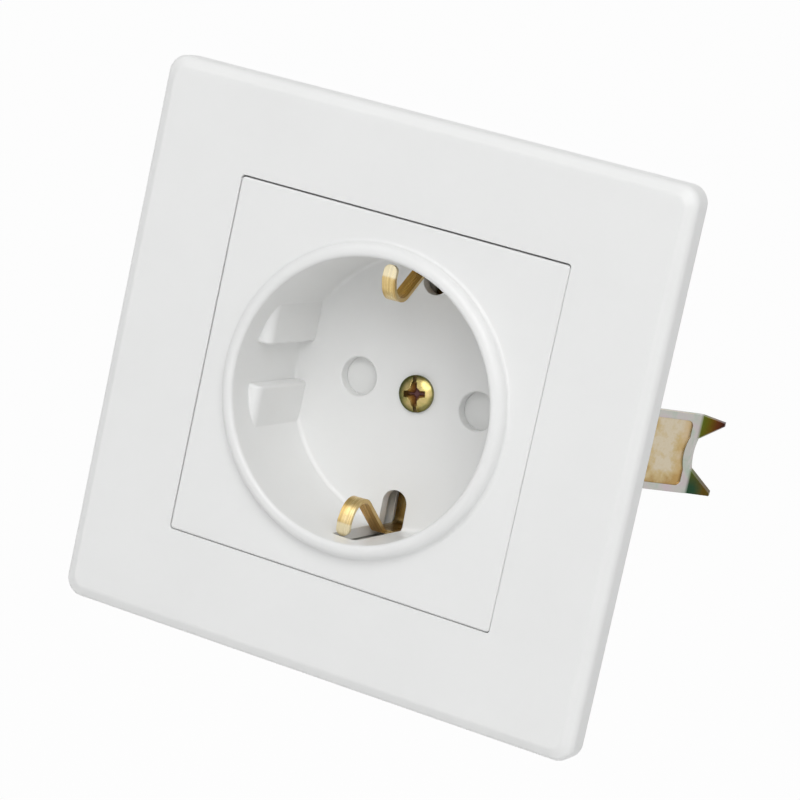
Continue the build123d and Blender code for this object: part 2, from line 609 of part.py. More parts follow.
def make_screw(seat, head_radius, head_height, shank_radius, shank_length):
    """Domed screw with a slot and a cross, its head on the seat plane and pointing along its normal."""
    profile = Plane(origin=seat.origin, x_dir=seat.x_dir, z_dir=-seat.y_dir)
    rim = head_height * HEAD_RIM
    with BuildPart() as screw:
        with BuildSketch(profile):
            with BuildLine():
                Polyline((0, head_height), (0, -shank_length), (shank_radius, -shank_length))
                Polyline((shank_radius, -shank_length), (shank_radius, 0), (head_radius, 0))
                Line((head_radius, 0), (head_radius, rim))
                TangentArc((0, head_height), (head_radius, rim), tangent=(1, 0))
            make_face()
        revolve(axis=Axis(seat.origin, seat.z_dir))
        with BuildSketch(seat.offset(head_height)):
            Rectangle(SLOT_WIDTH, 3 * head_radius)
        extrude(amount=-SLOT_DEPTH, mode=Mode.SUBTRACT)
        with BuildSketch(seat.offset(head_height)):
            Rectangle(CROSS_LENGTH, CROSS_WIDTH)
            Rectangle(CROSS_WIDTH, CROSS_LENGTH)
        extrude(amount=-CROSS_DEPTH, taper=CROSS_TAPER, mode=Mode.SUBTRACT)
        with BuildSketch(seat.offset(head_height)):
            Circle(HUB_RADIUS)
        extrude(amount=-CROSS_DEPTH, taper=HUB_TAPER, mode=Mode.SUBTRACT)
    return screw


# Screws: the centre screw, the terminal screws on the back and the claw screws on the strap
centre_seat = turned_plane(CENTRE_TURN, FLOOR)
finish(
    make_screw(centre_seat, CENTRE_HEAD, CENTRE_HEAD_HEIGHT, CENTRE_SHANK, CENTRE_SHANK_LENGTH),
    "centre_screw",
)
for name, (x, z), sheet in TERMINALS:
    head_seat = POCKET_FLOOR + sheet + WASHER_THICKNESS
    terminal_seat = Plane(origin=(x, head_seat, z), x_dir=(1, 0, 0), z_dir=(0, 1, 0))
    finish(
        make_screw(
            terminal_seat, TERMINAL_HEAD, TERMINAL_HEAD_HEIGHT, TERMINAL_SHANK, TERMINAL_SHANK_LENGTH
        ),
        f"{name}_terminal_screw",
    )
for side, name in ((-1, "left"), (1, "right")):
    claw_seat = Plane(origin=(side * CLAW_SCREW_X, -STRAP_THICKNESS, 0), x_dir=(1, 0, 0), z_dir=(0, -1, 0))
    finish(
        make_screw(
            claw_seat, CLAW_SCREW_HEAD, CLAW_SCREW_HEAD_HEIGHT, CLAW_SCREW_RADIUS, CLAW_SCREW_LENGTH
        ),
        f"{name}_claw_screw",
    )

# Mounting strap: plate on the wall with the well's opening, box screw holes and lugs for the claw pins
with BuildPart() as mounting_strap:
    with BuildSketch(wall_plane(0)):
        RectangleRounded(STRAP_WIDTH, STRAP_HEIGHT, STRAP_CORNER)
        Circle(BORE_RADIUS + STRAP_CLEARANCE, mode=Mode.SUBTRACT)
        with GridLocations(0, BOX_PITCH, 1, 2):
            Circle(BOX_HOLE_RADIUS, mode=Mode.SUBTRACT)
        with GridLocations(2 * RIVET_SIDE, 2 * RIVET_Z, 2, 2):
            Circle(RIVET_RADIUS + RUNNING_CLEARANCE, mode=Mode.SUBTRACT)
        with GridLocations(2 * CLAW_SCREW_X, 0, 2, 1):
            Circle(CLAW_SCREW_RADIUS + SCREW_CLEARANCE, mode=Mode.SUBTRACT)
        with GridLocations(2 * CLAW_PIN_X, 0, 2, 1):
            Rectangle(LUG_WIDTH, 2 * LUG_INNER, mode=Mode.SUBTRACT)
    extrude(amount=STRAP_THICKNESS)
    for bottom in (-LUG_OUTER, LUG_INNER):
        with BuildSketch(Plane.XY.offset(bottom)):
            with GridLocations(2 * CLAW_PIN_X, 0, 2, 1):
                with Locations((0, (CLAW_PIN_DEPTH - STRAP_THICKNESS) / 2)):
                    Rectangle(LUG_WIDTH, CLAW_PIN_DEPTH + STRAP_THICKNESS)
                with Locations((0, CLAW_PIN_DEPTH)):
                    Circle(LUG_WIDTH / 2)
                    Circle(CLAW_PIN_RADIUS + RUNNING_CLEARANCE, mode=Mode.SUBTRACT)
        extrude(amount=STRAP_THICKNESS)
finish(mounting_strap, "mounting_strap")

# Rivets: four, with a domed head on the strap and an upset tail behind the base's flange
with BuildPart() as strap_rivets:
    with BuildSketch(wall_plane(BASE_FLANGE_THICKNESS)):
        with GridLocations(2 * RIVET_SIDE, 2 * RIVET_Z, 2, 2):
            Circle(RIVET_RADIUS)
    extrude(amount=BASE_FLANGE_THICKNESS + STRAP_THICKNESS)
    for back in (-STRAP_THICKNESS, BASE_FLANGE_THICKNESS + RIVET_HEAD_HEIGHT):
        with BuildSketch(wall_plane(back)):
            with GridLocations(2 * RIVET_SIDE, 2 * RIVET_Z, 2, 2):
                Circle(RIVET_HEAD)
        extrude(amount=RIVET_HEAD_HEIGHT)
    fillet(strap_rivets.faces().group_by(Axis.Y)[0].edges(), RIVET_HEAD_HEIGHT * HEAD_ROUND)
    fillet(strap_rivets.faces().group_by(Axis.Y)[-1].edges(), RIVET_HEAD_HEIGHT * HEAD_ROUND)
finish(strap_rivets, "strap_rivets")

# Claw pins through the strap's lugs
for side, name in ((-1, "left"), (1, "right")):
    pin_end = CLAW_WIDTH / 2 + LUG_GAP
    with BuildPart() as claw_pin:
        with BuildSketch(Plane.XY.offset(-pin_end)):
            with Locations((side * CLAW_PIN_X, CLAW_PIN_DEPTH)):
                Circle(CLAW_PIN_RADIUS)
        extrude(amount=2 * pin_end)
        for bottom in (-pin_end - CLAW_PIN_HEAD_LENGTH, pin_end):
            with BuildSketch(Plane.XY.offset(bottom)):
                with Locations((side * CLAW_PIN_X, CLAW_PIN_DEPTH)):
                    Circle(CLAW_PIN_HEAD)
            extrude(amount=CLAW_PIN_HEAD_LENGTH)
    finish(claw_pin, f"{name}_claw_pin")


def add_steps(start, *steps):
    """Corner points that follow a start point, one step after another."""
    points = [start]
    for step in steps:
        points.append((points[-1][0] + step[0], points[-1][1] + step[1]))
    return points


# Claws: a strip bent round the pin, with a flange for the screw, a splayed arm and two teeth
arm_half_turn = radians((90 - CLAW_ARM_ANGLE) / 2)
arm_run = CLAW_ARM_LENGTH + CLAW_BEND / tan(arm_half_turn)
claw_heel = (CLAW_PIN_X - CLAW_BEND / tan(arm_half_turn), CLAW_FLANGE_Y)
arm_line = add_steps(
    claw_heel,
    along(CLAW_ARM_ANGLE, arm_run),
    along(CLAW_BLADE_ANGLE, CLAW_BLADE_LENGTH),
    along(CLAW_TOOTH_ANGLE, CLAW_TOOTH_LENGTH),
)
flange_tip = (CLAW_SCREW_X + CLAW_FLANGE_END, CLAW_FLANGE_Y)
fold_x, fold_y = arm_line[2]
tip_x, tip_y = arm_line[3]
tooth_inner = CLAW_WIDTH / 2 - CLAW_TOOTH_WIDTH
tooth_tip = CLAW_WIDTH / 2 - CLAW_TIP_INSET
tip_inner = tooth_tip - CLAW_TIP_WIDTH
lug_room = CLAW_BEND + CLAW_SHEET
blade_x, blade_y = along(CLAW_BLADE_ANGLE, 1)
panel_middle = CLAW_PANEL_END + CLAW_PANEL_LENGTH / 2
for side, name in ((-1, "left"), (1, "right")):
    with BuildPart() as claw:
        with BuildSketch(Plane.XY):
            with BuildLine():
                FilletPolyline(
                    *[(side * x, y) for x, y in [flange_tip] + arm_line],
                    radius=[CLAW_BEND, CLAW_BEND, CLAW_FOLD_BEND],
                )
            trace(line_width=CLAW_SHEET)
        extrude(amount=CLAW_WIDTH / 2, both=True)
        for bottom in (-LUG_OUTER - LUG_GAP, LUG_INNER - LUG_GAP):
            with BuildSketch(Plane.XY.offset(bottom)):
                with Locations((side * CLAW_PIN_X, CLAW_PIN_DEPTH)):
                    Rectangle(2 * lug_room, 2 * lug_room)
            extrude(amount=STRAP_THICKNESS + 2 * LUG_GAP, mode=Mode.SUBTRACT)
        for bottom in (-CLAW_WIDTH / 2, EAR_INNER):
            with BuildSketch(Plane.XY.offset(bottom)):
                with Locations((side * CLAW_PIN_X, CLAW_PIN_DEPTH)):
                    Circle(CLAW_EAR_RADIUS)
                    Circle(CLAW_PIN_RADIUS + RUNNING_CLEARANCE, mode=Mode.SUBTRACT)
            extrude(amount=CLAW_SHEET)
        with BuildSketch(wall_plane(CLAW_FLANGE_BACK)):
            slot_inner = CLAW_SCREW_X - CLAW_SLOT_INSIDE
            slot_outer = CLAW_SCREW_X + CLAW_SLOT_OUTSIDE
            with Locations((side * (slot_inner + slot_outer) / 2, 0)):
                SlotOverall(slot_outer - slot_inner, 2 * CLAW_SLOT_HALF)
        extrude(amount=CLAW_SHEET, mode=Mode.SUBTRACT)
        with BuildSketch(wall_plane(tip_y + CLAW_TOOTH_LENGTH)):
            with BuildLine():
                Polyline(
                    (side * fold_x, tooth_inner),
                    (side * tip_x, tip_inner),
                    (side * (tip_x + CLAW_TOOTH_LENGTH), tip_inner),
                    (side * (tip_x + CLAW_TOOTH_LENGTH), -tip_inner),
                    (side * tip_x, -tip_inner),
                    (side * fold_x, -tooth_inner),
                )
                ThreePointArc(
                    (side * fold_x, -tooth_inner),
                    (side * (fold_x - CLAW_NOTCH), 0),
                    (side * fold_x, tooth_inner),
                )
            make_face()
            for up in (-1, 1):
                with BuildLine():
                    Polyline(
                        (side * fold_x, up * CLAW_WIDTH / 2),
                        (side * tip_x, up * tooth_tip),
                        (side * (tip_x + CLAW_TOOTH_LENGTH), up * tooth_tip),
                        (side * (tip_x + CLAW_TOOTH_LENGTH), up * CLAW_WIDTH),
                        (side * fold_x, up * CLAW_WIDTH),
                        close=True,
                    )
                make_face()
        extrude(amount=3 * CLAW_TOOTH_LENGTH, mode=Mode.SUBTRACT)
        blade_face = Plane(
            origin=(side * (fold_x + blade_y * CLAW_SHEET / 2), fold_y - blade_x * CLAW_SHEET / 2, 0),
            x_dir=(side * blade_x, blade_y, 0),
            z_dir=(side * blade_y, -blade_x, 0),
        )
        with BuildSketch(blade_face):
            with Locations((-panel_middle, 0)):
                RectangleRounded(CLAW_PANEL_LENGTH, CLAW_WIDTH - 2 * CLAW_PANEL_BORDER, CLAW_PANEL_CORNER)
            with Locations((CLAW_WAIST_RADIUS - CLAW_PANEL_END - CLAW_WAIST, 0)):
                Circle(CLAW_WAIST_RADIUS, mode=Mode.SUBTRACT)
        extrude(amount=-CLAW_PANEL_DEPTH, mode=Mode.SUBTRACT)
    finish(claw, f"{name}_claw")

# Claw nuts behind the flanges
for side, name in ((-1, "left"), (1, "right")):
    with BuildPart() as claw_nut:
        with BuildSketch(wall_plane(CLAW_FLANGE_BACK + CLAW_NUT_GAP + CLAW_NUT_THICKNESS)):
            with Locations((side * CLAW_SCREW_X, 0)):
                Rectangle(CLAW_NUT_SIZE, CLAW_NUT_SIZE)
                Circle(CLAW_SCREW_RADIUS + RUNNING_CLEARANCE, mode=Mode.SUBTRACT)
        extrude(amount=CLAW_NUT_THICKNESS)
    finish(claw_nut, f"{name}_claw_nut")
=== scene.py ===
import math

import bpy
from mathutils import Matrix, Vector


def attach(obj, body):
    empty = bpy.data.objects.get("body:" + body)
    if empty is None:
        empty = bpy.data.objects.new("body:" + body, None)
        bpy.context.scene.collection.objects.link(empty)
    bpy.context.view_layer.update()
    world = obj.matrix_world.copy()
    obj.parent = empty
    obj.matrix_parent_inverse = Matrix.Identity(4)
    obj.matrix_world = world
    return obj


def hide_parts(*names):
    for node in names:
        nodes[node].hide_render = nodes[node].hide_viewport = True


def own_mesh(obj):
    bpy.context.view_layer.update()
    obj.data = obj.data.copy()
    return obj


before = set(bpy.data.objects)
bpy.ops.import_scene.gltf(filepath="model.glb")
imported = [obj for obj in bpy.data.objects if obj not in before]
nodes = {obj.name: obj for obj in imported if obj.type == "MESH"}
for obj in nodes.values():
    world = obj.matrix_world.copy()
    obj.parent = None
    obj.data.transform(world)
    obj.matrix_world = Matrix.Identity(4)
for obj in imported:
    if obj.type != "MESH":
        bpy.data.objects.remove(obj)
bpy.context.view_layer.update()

# A millimetre in metres, the scene's unit
MM = 0.001

# Camera of the photograph: place, axes, range, and focal length in pixels of a square frame
CAMERA_PLACE = Vector((0.18963, -0.39867, 0.07588))
CAMERA_RIGHT = Vector((0.8689135, 0.4485841, 0.2091929))
CAMERA_DOWN = Vector((0.2624766, -0.0592810, -0.9631157))
CAMERA_FORWARD = Vector((-0.4196372, 0.8917724, -0.1692529))
CAMERA_NEAR = 0.01
CAMERA_FAR = 200.0
FOCAL_PIXELS = 3250
FRAME_PIXELS = 800
SENSOR_MM = 36.0

# Level of the world, then each lamp's name, place, diameter and power
AMBIENT = 0.36
LAMPS = (
    ("front", (0.3, -0.9, 0.75), 0.9, 6.3),
    ("camera_side", (0.5, -1.06, 0.2), 0.9, 0.9),
    ("key", (-0.75, -0.75, 0.95), 0.9, 1.9),
    ("side", (0.95, -0.75, 0.5), 0.9, 1.1),
    ("rim", (1.14, 0.36, 0.12), 0.6, 0.5),
)

# Floor: height, width, share that is seen as plain white, roughness, shades, and clouds per metre
FLOOR_LEVEL = -0.3
FLOOR_SIZE = 60.0
FLOOR_GLOW = 0.97
FLOOR_ROUGHNESS = 0.9
FLOOR_WHITE = ((0.90, 0.90, 0.90), (0.93, 0.93, 0.93))
FLOOR_CLOUDS = 3.0

# Plastics: darkest and lightest linear colour, smoothest and roughest gloss, and edge radius
GLOSS_WHITE = ((0.85, 0.855, 0.85), (0.865, 0.87, 0.865))
SATIN_WHITE = ((0.83, 0.835, 0.825), (0.85, 0.855, 0.845))
BASE_WHITE = ((0.70, 0.70, 0.67), (0.76, 0.76, 0.73))
GLOSSY = (0.30, 0.38)
SATIN = (0.45, 0.55)
MATTE = (0.5, 0.65)
PLASTIC_EDGE = 0.2 * MM
SHUTTER_EDGE = 0.15 * MM

# Plastics: features per metre, strength of the skin's relief, and refractive index
PLASTIC_CLOUDS = 55.0
PLASTIC_PATCHES = 170.0
PLASTIC_SKIN = 5200.0
PLASTIC_RELIEF = 0.06
PLASTIC_IOR = 1.5

# Earth clips: drop of the bow's middle, distance from it where the tips begin, and depth of the crests
BOW_DROP = 0.5 * MM
CLIP_TIP_START = 17.2 * MM
CLIP_CREST_Y = -2.1 * MM

# Brass: ramp of the gold, the colours laid over it, which are a painted brown shade, drawn lines, a painted
# pale highlight and a painted deep shade, and the largest share of each
BRASS_GOLD = ((0.3, (0.62, 0.45, 0.18)), (0.5, (0.80, 0.62, 0.30)), (0.75, (0.92, 0.80, 0.52)))
# Painted shade: brown laid on faces turned outward behind a clip's crest
BROWN_PAINTED_SHADE = (0.58, 0.32, 0.05)
BRASS_LINE = (0.40, 0.23, 0.05)
# Painted highlight: pale colour at the clips' tips
PALE_PAINTED_HIGHLIGHT = (0.98, 0.90, 0.66)
# Painted shade: brass turns darker deeper in
DEEP_PAINTED_SHADE = (0.30, 0.17, 0.03)
BROWN_SHADE_SHARE = 0.85
LINE_SHARE = 0.7
HIGHLIGHT_SHARE = 0.7
DEEP_SHADE_SHARE = 0.6

# Brass: where those colours begin and are full, the drawn lines, gloss and edge
CREST_FADE = 0.6 * MM
TIP_FADE = 0.3 * MM
BROWN_SHADE_FACING = (-0.1, 0.6)
BROWN_SHADE_DEPTH = (CLIP_CREST_Y - CREST_FADE, CLIP_CREST_Y + CREST_FADE)
LINE_BAND = (0.42, 0.7)
HIGHLIGHT_REACH = (CLIP_TIP_START, CLIP_TIP_START + TIP_FADE)
HIGHLIGHT_DEPTH = (CLIP_CREST_Y, CLIP_CREST_Y - CREST_FADE)
DEEP_SHADE_DEPTH = (4.0 * MM, 9.0 * MM)
BRASS_PATCHES = 320.0
BRASS_LINES = 3800.0
STRIP_STRETCH = (1.0, 0.012, 0.012)
BRASS_RELIEF = 0.35
BRASS_GLOSS = (0.22, 0.4)
BRASS_EDGE = 0.08 * MM

# Steel: darkest and lightest colour of sheet and of wire, features per metre, relief and gloss
ZINC_GREY = ((0.52, 0.53, 0.54), (0.68, 0.69, 0.70))
WIRE_GREY = ((0.45, 0.45, 0.46), (0.62, 0.62, 0.63))
SHEET_GRAIN = 2400.0
WIRE_GRAIN = 4000.0
STEEL_PATCHES = 140.0
STEEL_STRETCH = (1.0, 1.0, 0.08)
GRAIN_SHARE = 0.3
STEEL_RELIEF = 0.12
STEEL_GLOSS = (0.26, 0.44)

# Yellow passivated zinc: gold that drifts to green and pink
PASSIVATED = (
    (0.3, (0.34, 0.33, 0.12)),
    (0.45, (0.52, 0.42, 0.16)),
    (0.6, (0.62, 0.47, 0.22)),
    (0.75, (0.52, 0.33, 0.2)),
)
ZINC_DRIFT = 260.0
ZINC_GRAIN = 3000.0
ZINC_RELIEF = 0.1
ZINC_GLOSS = (0.25, 0.4)

# Head of the centre screw, as in the solid: radius, front of its dome and the dome's fall per square metre
HEAD_RADIUS = 2.65 * MM
HEAD_TOP = 8.1 * MM
HEAD_CURVE = 120.0

# Centre screw: painted shade in the recess from its edge to its bottom, painted shade at the ends of the
# recess, and a painted dark olive reflection round the rim of the head
# Painted shade: the recess turns from orange to dark brown with depth
RECESS_PAINTED_SHADE = (
    (0.05, (0.66, 0.50, 0.18)),
    (0.35, (0.50, 0.27, 0.06)),
    (0.75, (0.30, 0.13, 0.04)),
    (1.0, (0.10, 0.035, 0.035)),
)
# Painted shade: dark colour at the ends of the recess
RECESS_ENDS_SHADE = (0.11, 0.075, 0.02)
# Painted dark olive reflection round the head's rim
OLIVE_PAINTED_REFLECTION = (0.10, 0.11, 0.03)
RECESS_SHADE_DEPTH = (0.0, 1.3 * MM)
RECESS_CUT = (0.04 * MM, 0.12 * MM)
ENDS_SHADE_REACH = (1.2 * MM, 1.9 * MM)
RECESS_METALLIC = 0.45
HEAD_EDGE = (HEAD_RADIUS, HEAD_RADIUS - 0.1 * MM)
OLIVE_REFLECTION_REACH = (1.8 * MM, 2.6 * MM)
OLIVE_ASIDE = 0.3 * MM
SCREW_DRIFT = 420.0
SCREW_GLOSS = (0.15, 0.28)
SCREW_EDGE = 0.12 * MM

# Bent blade of the claws, as in the solid: fold and directions
FOLD_X = 35.76 * MM
FOLD_Y = 26.41 * MM
BLADE_ANGLE = math.radians(37.7)
TOOTH_ANGLE = math.radians(76.0)

# Claws: ramps of the border and the pressed panel, the tan painted shade at the panel's end, and the
# panel's turn to darker towards the bottom
CLAW_BORDER = ((0.3, (0.36, 0.43, 0.36)), (0.5, (0.47, 0.46, 0.43)), (0.7, (0.51, 0.42, 0.45)))
CLAW_CREAM = (
    (0.28, (0.38, 0.25, 0.10)),
    (0.42, (0.50, 0.39, 0.21)),
    (0.55, (0.57, 0.50, 0.38)),
    (0.7, (0.52, 0.43, 0.27)),
)
# Painted shade: tan at the pressed panel's end
TAN_PAINTED_SHADE = (0.50, 0.32, 0.12)
TAN_SHADE_ALONG = (-3.2 * MM, -1.8 * MM)
TAN_SHADE_SHARE = 0.5
# The panel's stains turn darker and browner towards the bottom
DARKENING_HEIGHT = (-4.5 * MM, 1.0 * MM)
DARKENING_SHIFT = (-0.16, 0.04)
PANEL_END = (-1.1 * MM, -1.3 * MM)
PANEL_BACK = (0.1 * MM, 0.15 * MM)
PANEL_FRONT = (0.55 * MM, 0.42 * MM)

# Claws: ramp of the teeth from root to tip, and the colours over the lower tooth
TOOTH = (
    (0.0, (0.36, 0.42, 0.26)),
    (0.12, (0.10, 0.15, 0.025)),
    (0.32, (0.12, 0.12, 0.012)),
    (0.55, (0.13, 0.075, 0.01)),
    (0.78, (0.11, 0.035, 0.012)),
    (1.0, (0.05, 0.018, 0.012)),
)
TOOTH_OLIVE = (0.11, 0.08, 0.012)
TOOTH_TEAL = (0.014, 0.07, 0.042)
TOOTH_START = (0.1 * MM, 0.5 * MM)
TOOTH_SPAN = (0.4 * MM, 4.0 * MM)
TOOTH_DRIFT = 1.3 * MM
LOWER_TOOTH = (-2.0 * MM, -4.5 * MM)
TEAL_SPAN = (3.4 * MM, 1.8 * MM)
OLIVE_SHARE = 0.75
TEAL_SHARE = 0.85

# Claws: features per metre and gloss
CLAW_DRIFT = 330.0
CLAW_STAINS = 260.0
CLAW_GRAIN = 2600.0
CLAW_GLOSS = (0.3, 0.46)

# Depth of the fine relief on plastic and metal, of the lines in brass, and edge radius of the other metals
FINE_RELIEF = 0.02 * MM
LINE_RELIEF = 0.03 * MM
METAL_EDGE = 0.1 * MM


class Graph:
    """Short forms for building a node tree."""

    # Levels of a noise between which a gloss or a shade changes
    NOISE_LOW = 0.3
    NOISE_HIGH = 0.7
    SHADE_LOW = 0.35
    SHADE_HIGH = 0.65

    BEVEL_SAMPLES = 6

    # Colour sockets of a mix node
    FIRST_COLOUR = 6
    SECOND_COLOUR = 7
    MIXED_COLOUR = 2

    def __init__(self, name):
        self.material = bpy.data.materials.new(name)
        self.material.use_nodes = True
        self.tree = self.material.node_tree
        self.shader = self.tree.nodes["Principled BSDF"]

    def node(self, kind, **settings):
        made = self.tree.nodes.new(kind)
        for key, value in settings.items():
            setattr(made, key, value)
        return made

    def link(self, source, target):
        self.tree.links.new(source, target)

    def put(self, target, value):
        """A link if the value is another node's output, else a constant; a colour gets its alpha."""
        if hasattr(value, "is_output"):
            self.link(value, target)
        elif isinstance(value, tuple):
            target.default_value = (*value, 1.0)
        else:
            target.default_value = value

    def constant(self, **values):
        for key, value in values.items():
            self.shader.inputs[key].default_value = value

    def place(self):
        return self.node("ShaderNodeTexCoord").outputs["Object"]

    def scaled(self, vector, factors):
        made = self.node("ShaderNodeVectorMath", operation="MULTIPLY")
        self.link(vector, made.inputs[0])
        made.inputs[1].default_value = factors
        return made.outputs["Vector"]

    def axes(self, vector):
        made = self.node("ShaderNodeSeparateXYZ")
        self.link(vector, made.inputs[0])
        return made.outputs["X"], made.outputs["Y"], made.outputs["Z"]

    def math(self, operation, *values):
        made = self.node("ShaderNodeMath", operation=operation)
        for target, value in zip(made.inputs, values):
            self.put(target, value)
        return made.outputs[0]

    def noise(self, vector, scale, detail=3.0, roughness=0.55, distortion=0.0):
        made = self.node("ShaderNodeTexNoise")
        self.link(vector, made.inputs["Vector"])
        made.inputs["Scale"].default_value = scale
        made.inputs["Detail"].default_value = detail
        made.inputs["Roughness"].default_value = roughness
        made.inputs["Distortion"].default_value = distortion
        return made.outputs["Fac"]

    def ramp(self, factor, *stops):
        made = self.node("ShaderNodeValToRGB")
        self.put(made.inputs["Fac"], factor)
        band = made.color_ramp
        while len(band.elements) < len(stops):
            band.elements.new(0.5)
        for element, (position, colour) in zip(band.elements, stops):
            element.position = position
            element.color = (*colour, 1.0)
        return made.outputs["Color"]

    def shade(self, factor, shades):
        """Ramp between a dark and a light shade over the middle of a noise."""
        dark, light = shades
        return self.ramp(factor, (self.SHADE_LOW, dark), (self.SHADE_HIGH, light))

    def span(self, value, low, high, to_low=0.0, to_high=1.0):
        """The value's place between low and high, as a number between the other two."""
        made = self.node("ShaderNodeMapRange")
        made.clamp = True
        self.put(made.inputs["Value"], value)
        for key, number in (("From Min", low), ("From Max", high), ("To Min", to_low), ("To Max", to_high)):
            made.inputs[key].default_value = number
        return made.outputs["Result"]

    def gloss(self, noise, limits):
        """Roughness that follows a noise, between the two limits."""
        return self.span(noise, self.NOISE_LOW, self.NOISE_HIGH, *limits)

    def mix(self, factor, first, second):
        made = self.node("ShaderNodeMix", data_type="RGBA")
        self.put(made.inputs["Factor"], factor)
        self.put(made.inputs[self.FIRST_COLOUR], first)
        self.put(made.inputs[self.SECOND_COLOUR], second)
        return made.outputs[self.MIXED_COLOUR]

    def relief(self, height, strength, distance, edge):
        """Fine bumps on a surface whose sharp edges look rounded."""
        rounded = self.node("ShaderNodeBevel", samples=self.BEVEL_SAMPLES)
        rounded.inputs["Radius"].default_value = edge
        made = self.node("ShaderNodeBump")
        made.inputs["Strength"].default_value = strength
        made.inputs["Distance"].default_value = distance
        self.link(height, made.inputs["Height"])
        self.link(rounded.outputs["Normal"], made.inputs["Normal"])
        self.link(made.outputs["Normal"], self.shader.inputs["Normal"])

    def finish(self, colour, roughness):
        self.put(self.shader.inputs["Base Color"], colour)
        self.put(self.shader.inputs["Roughness"], roughness)
        return self.material


def plastic(name, shades, gloss, edge):
    """Moulded plastic: faint cloudiness, uneven gloss and a very fine skin."""
    g = Graph(name)
    place = g.place()
    colour = g.shade(g.noise(place, PLASTIC_CLOUDS, detail=4.0), shades)
    g.relief(g.noise(place, PLASTIC_SKIN, detail=2.0), PLASTIC_RELIEF, FINE_RELIEF, edge)
    g.constant(IOR=PLASTIC_IOR)
    return g.finish(colour, g.gloss(g.noise(place, PLASTIC_PATCHES, detail=5.0), gloss))


def drawn_brass(name):
    """Brass strip with lines along it: painted brown shade on faces turned outward behind a clip's crest, a
    painted pale highlight at the tip, painted dark shade in the depth.
    """
    g = Graph(name)
    place = g.place()
    lines = g.noise(g.scaled(place, STRIP_STRETCH), BRASS_LINES)
    patches = g.noise(place, BRASS_PATCHES, detail=4.0)
    _, depth, height = g.axes(place)
    _, _, upward = g.axes(g.node("ShaderNodeTexCoord").outputs["Normal"])
    outward = g.math("MULTIPLY", upward, g.math("SIGN", height))
    reach = g.math("ABSOLUTE", g.math("ADD", height, BOW_DROP))
    # Painted shade: brown on faces turned outward behind the crest
    shade_facing = g.span(outward, *BROWN_SHADE_FACING, to_high=BROWN_SHADE_SHARE)
    painted_brown_shade = g.math("MULTIPLY", shade_facing, g.span(depth, *BROWN_SHADE_DEPTH))
    # Painted highlight: pale at the tips, in front of the crest
    highlight_tip = g.span(reach, *HIGHLIGHT_REACH)
    painted_highlight = g.math("MULTIPLY", highlight_tip, g.span(depth, *HIGHLIGHT_DEPTH, to_high=HIGHLIGHT_SHARE))
    colour = g.mix(painted_brown_shade, g.ramp(patches, *BRASS_GOLD), BROWN_PAINTED_SHADE)
    colour = g.mix(g.span(lines, *LINE_BAND, to_high=LINE_SHARE), colour, BRASS_LINE)
    colour = g.mix(painted_highlight, colour, PALE_PAINTED_HIGHLIGHT)
    # Painted shade: darker brass deeper in
    colour = g.mix(g.span(depth, *DEEP_SHADE_DEPTH, to_high=DEEP_SHADE_SHARE), colour, DEEP_PAINTED_SHADE)
    g.relief(lines, BRASS_RELIEF, LINE_RELIEF, BRASS_EDGE)
    g.constant(Metallic=1.0)
    return g.finish(colour, g.gloss(lines, BRASS_GLOSS))


def bright_steel(name, shades, scale):
    """Zinc-plated steel with a fine grain."""
    g = Graph(name)
    place = g.place()
    grain = g.noise(g.scaled(place, STEEL_STRETCH), scale)
    patches = g.noise(place, STEEL_PATCHES, detail=5.0)
    mottle = g.math("MULTIPLY_ADD", grain, GRAIN_SHARE, g.math("MULTIPLY", patches, 1 - GRAIN_SHARE))
    g.relief(grain, STEEL_RELIEF, FINE_RELIEF, METAL_EDGE)
    g.constant(Metallic=1.0)
    return g.finish(g.shade(mottle, shades), g.gloss(patches, STEEL_GLOSS))


def yellow_zinc(name):
    """Yellow zinc of the claw screws."""
    g = Graph(name)
    place = g.place()
    drift = g.noise(place, ZINC_DRIFT, detail=2.0, distortion=0.6)
    grain = g.noise(place, ZINC_GRAIN)
    g.relief(grain, ZINC_RELIEF, FINE_RELIEF, METAL_EDGE)
    g.constant(Metallic=1.0)
    return g.finish(g.ramp(drift, *PASSIVATED), g.gloss(grain, ZINC_GLOSS))


def centre_zinc(name):
    """Centre screw: yellow zinc, painted shade from orange to dark brown in the recess, a painted dark
    olive reflection round the head's rim.
    """
    g = Graph(name)
    place = g.place()
    x, y, z = g.axes(place)
    high = g.math("MULTIPLY", z, z)
    squares = g.math("MULTIPLY_ADD", x, x, high)
    below = g.math("SUBTRACT", y, g.math("MULTIPLY_ADD", squares, HEAD_CURVE, HEAD_TOP))
    cut = g.math("MULTIPLY", g.span(below, *RECESS_CUT), g.span(g.math("SQRT", squares), *HEAD_EDGE))
    aside = g.math("SUBTRACT", x, OLIVE_ASIDE)
    reach = g.math("SQRT", g.math("MULTIPLY_ADD", aside, aside, high))
    drift = g.noise(place, SCREW_DRIFT, detail=2.0, distortion=0.8)
    grain = g.noise(place, ZINC_GRAIN)
    # Painted shade in the recess, darker with depth and at its ends
    recess_shade = g.ramp(g.span(below, *RECESS_SHADE_DEPTH), *RECESS_PAINTED_SHADE)
    recess_shade = g.mix(g.span(reach, *ENDS_SHADE_REACH), recess_shade, RECESS_ENDS_SHADE)
    # Painted dark olive reflection round the head's rim, off to one side
    head_and_reflection = g.mix(g.span(reach, *OLIVE_REFLECTION_REACH), g.ramp(drift, *PASSIVATED), OLIVE_PAINTED_REFLECTION)
    g.relief(grain, ZINC_RELIEF, FINE_RELIEF, SCREW_EDGE)
    g.put(g.shader.inputs["Metallic"], g.span(cut, 0.0, 1.0, to_low=1.0, to_high=RECESS_METALLIC))
    return g.finish(g.mix(cut, head_and_reflection, recess_shade), g.gloss(grain, SCREW_GLOSS))


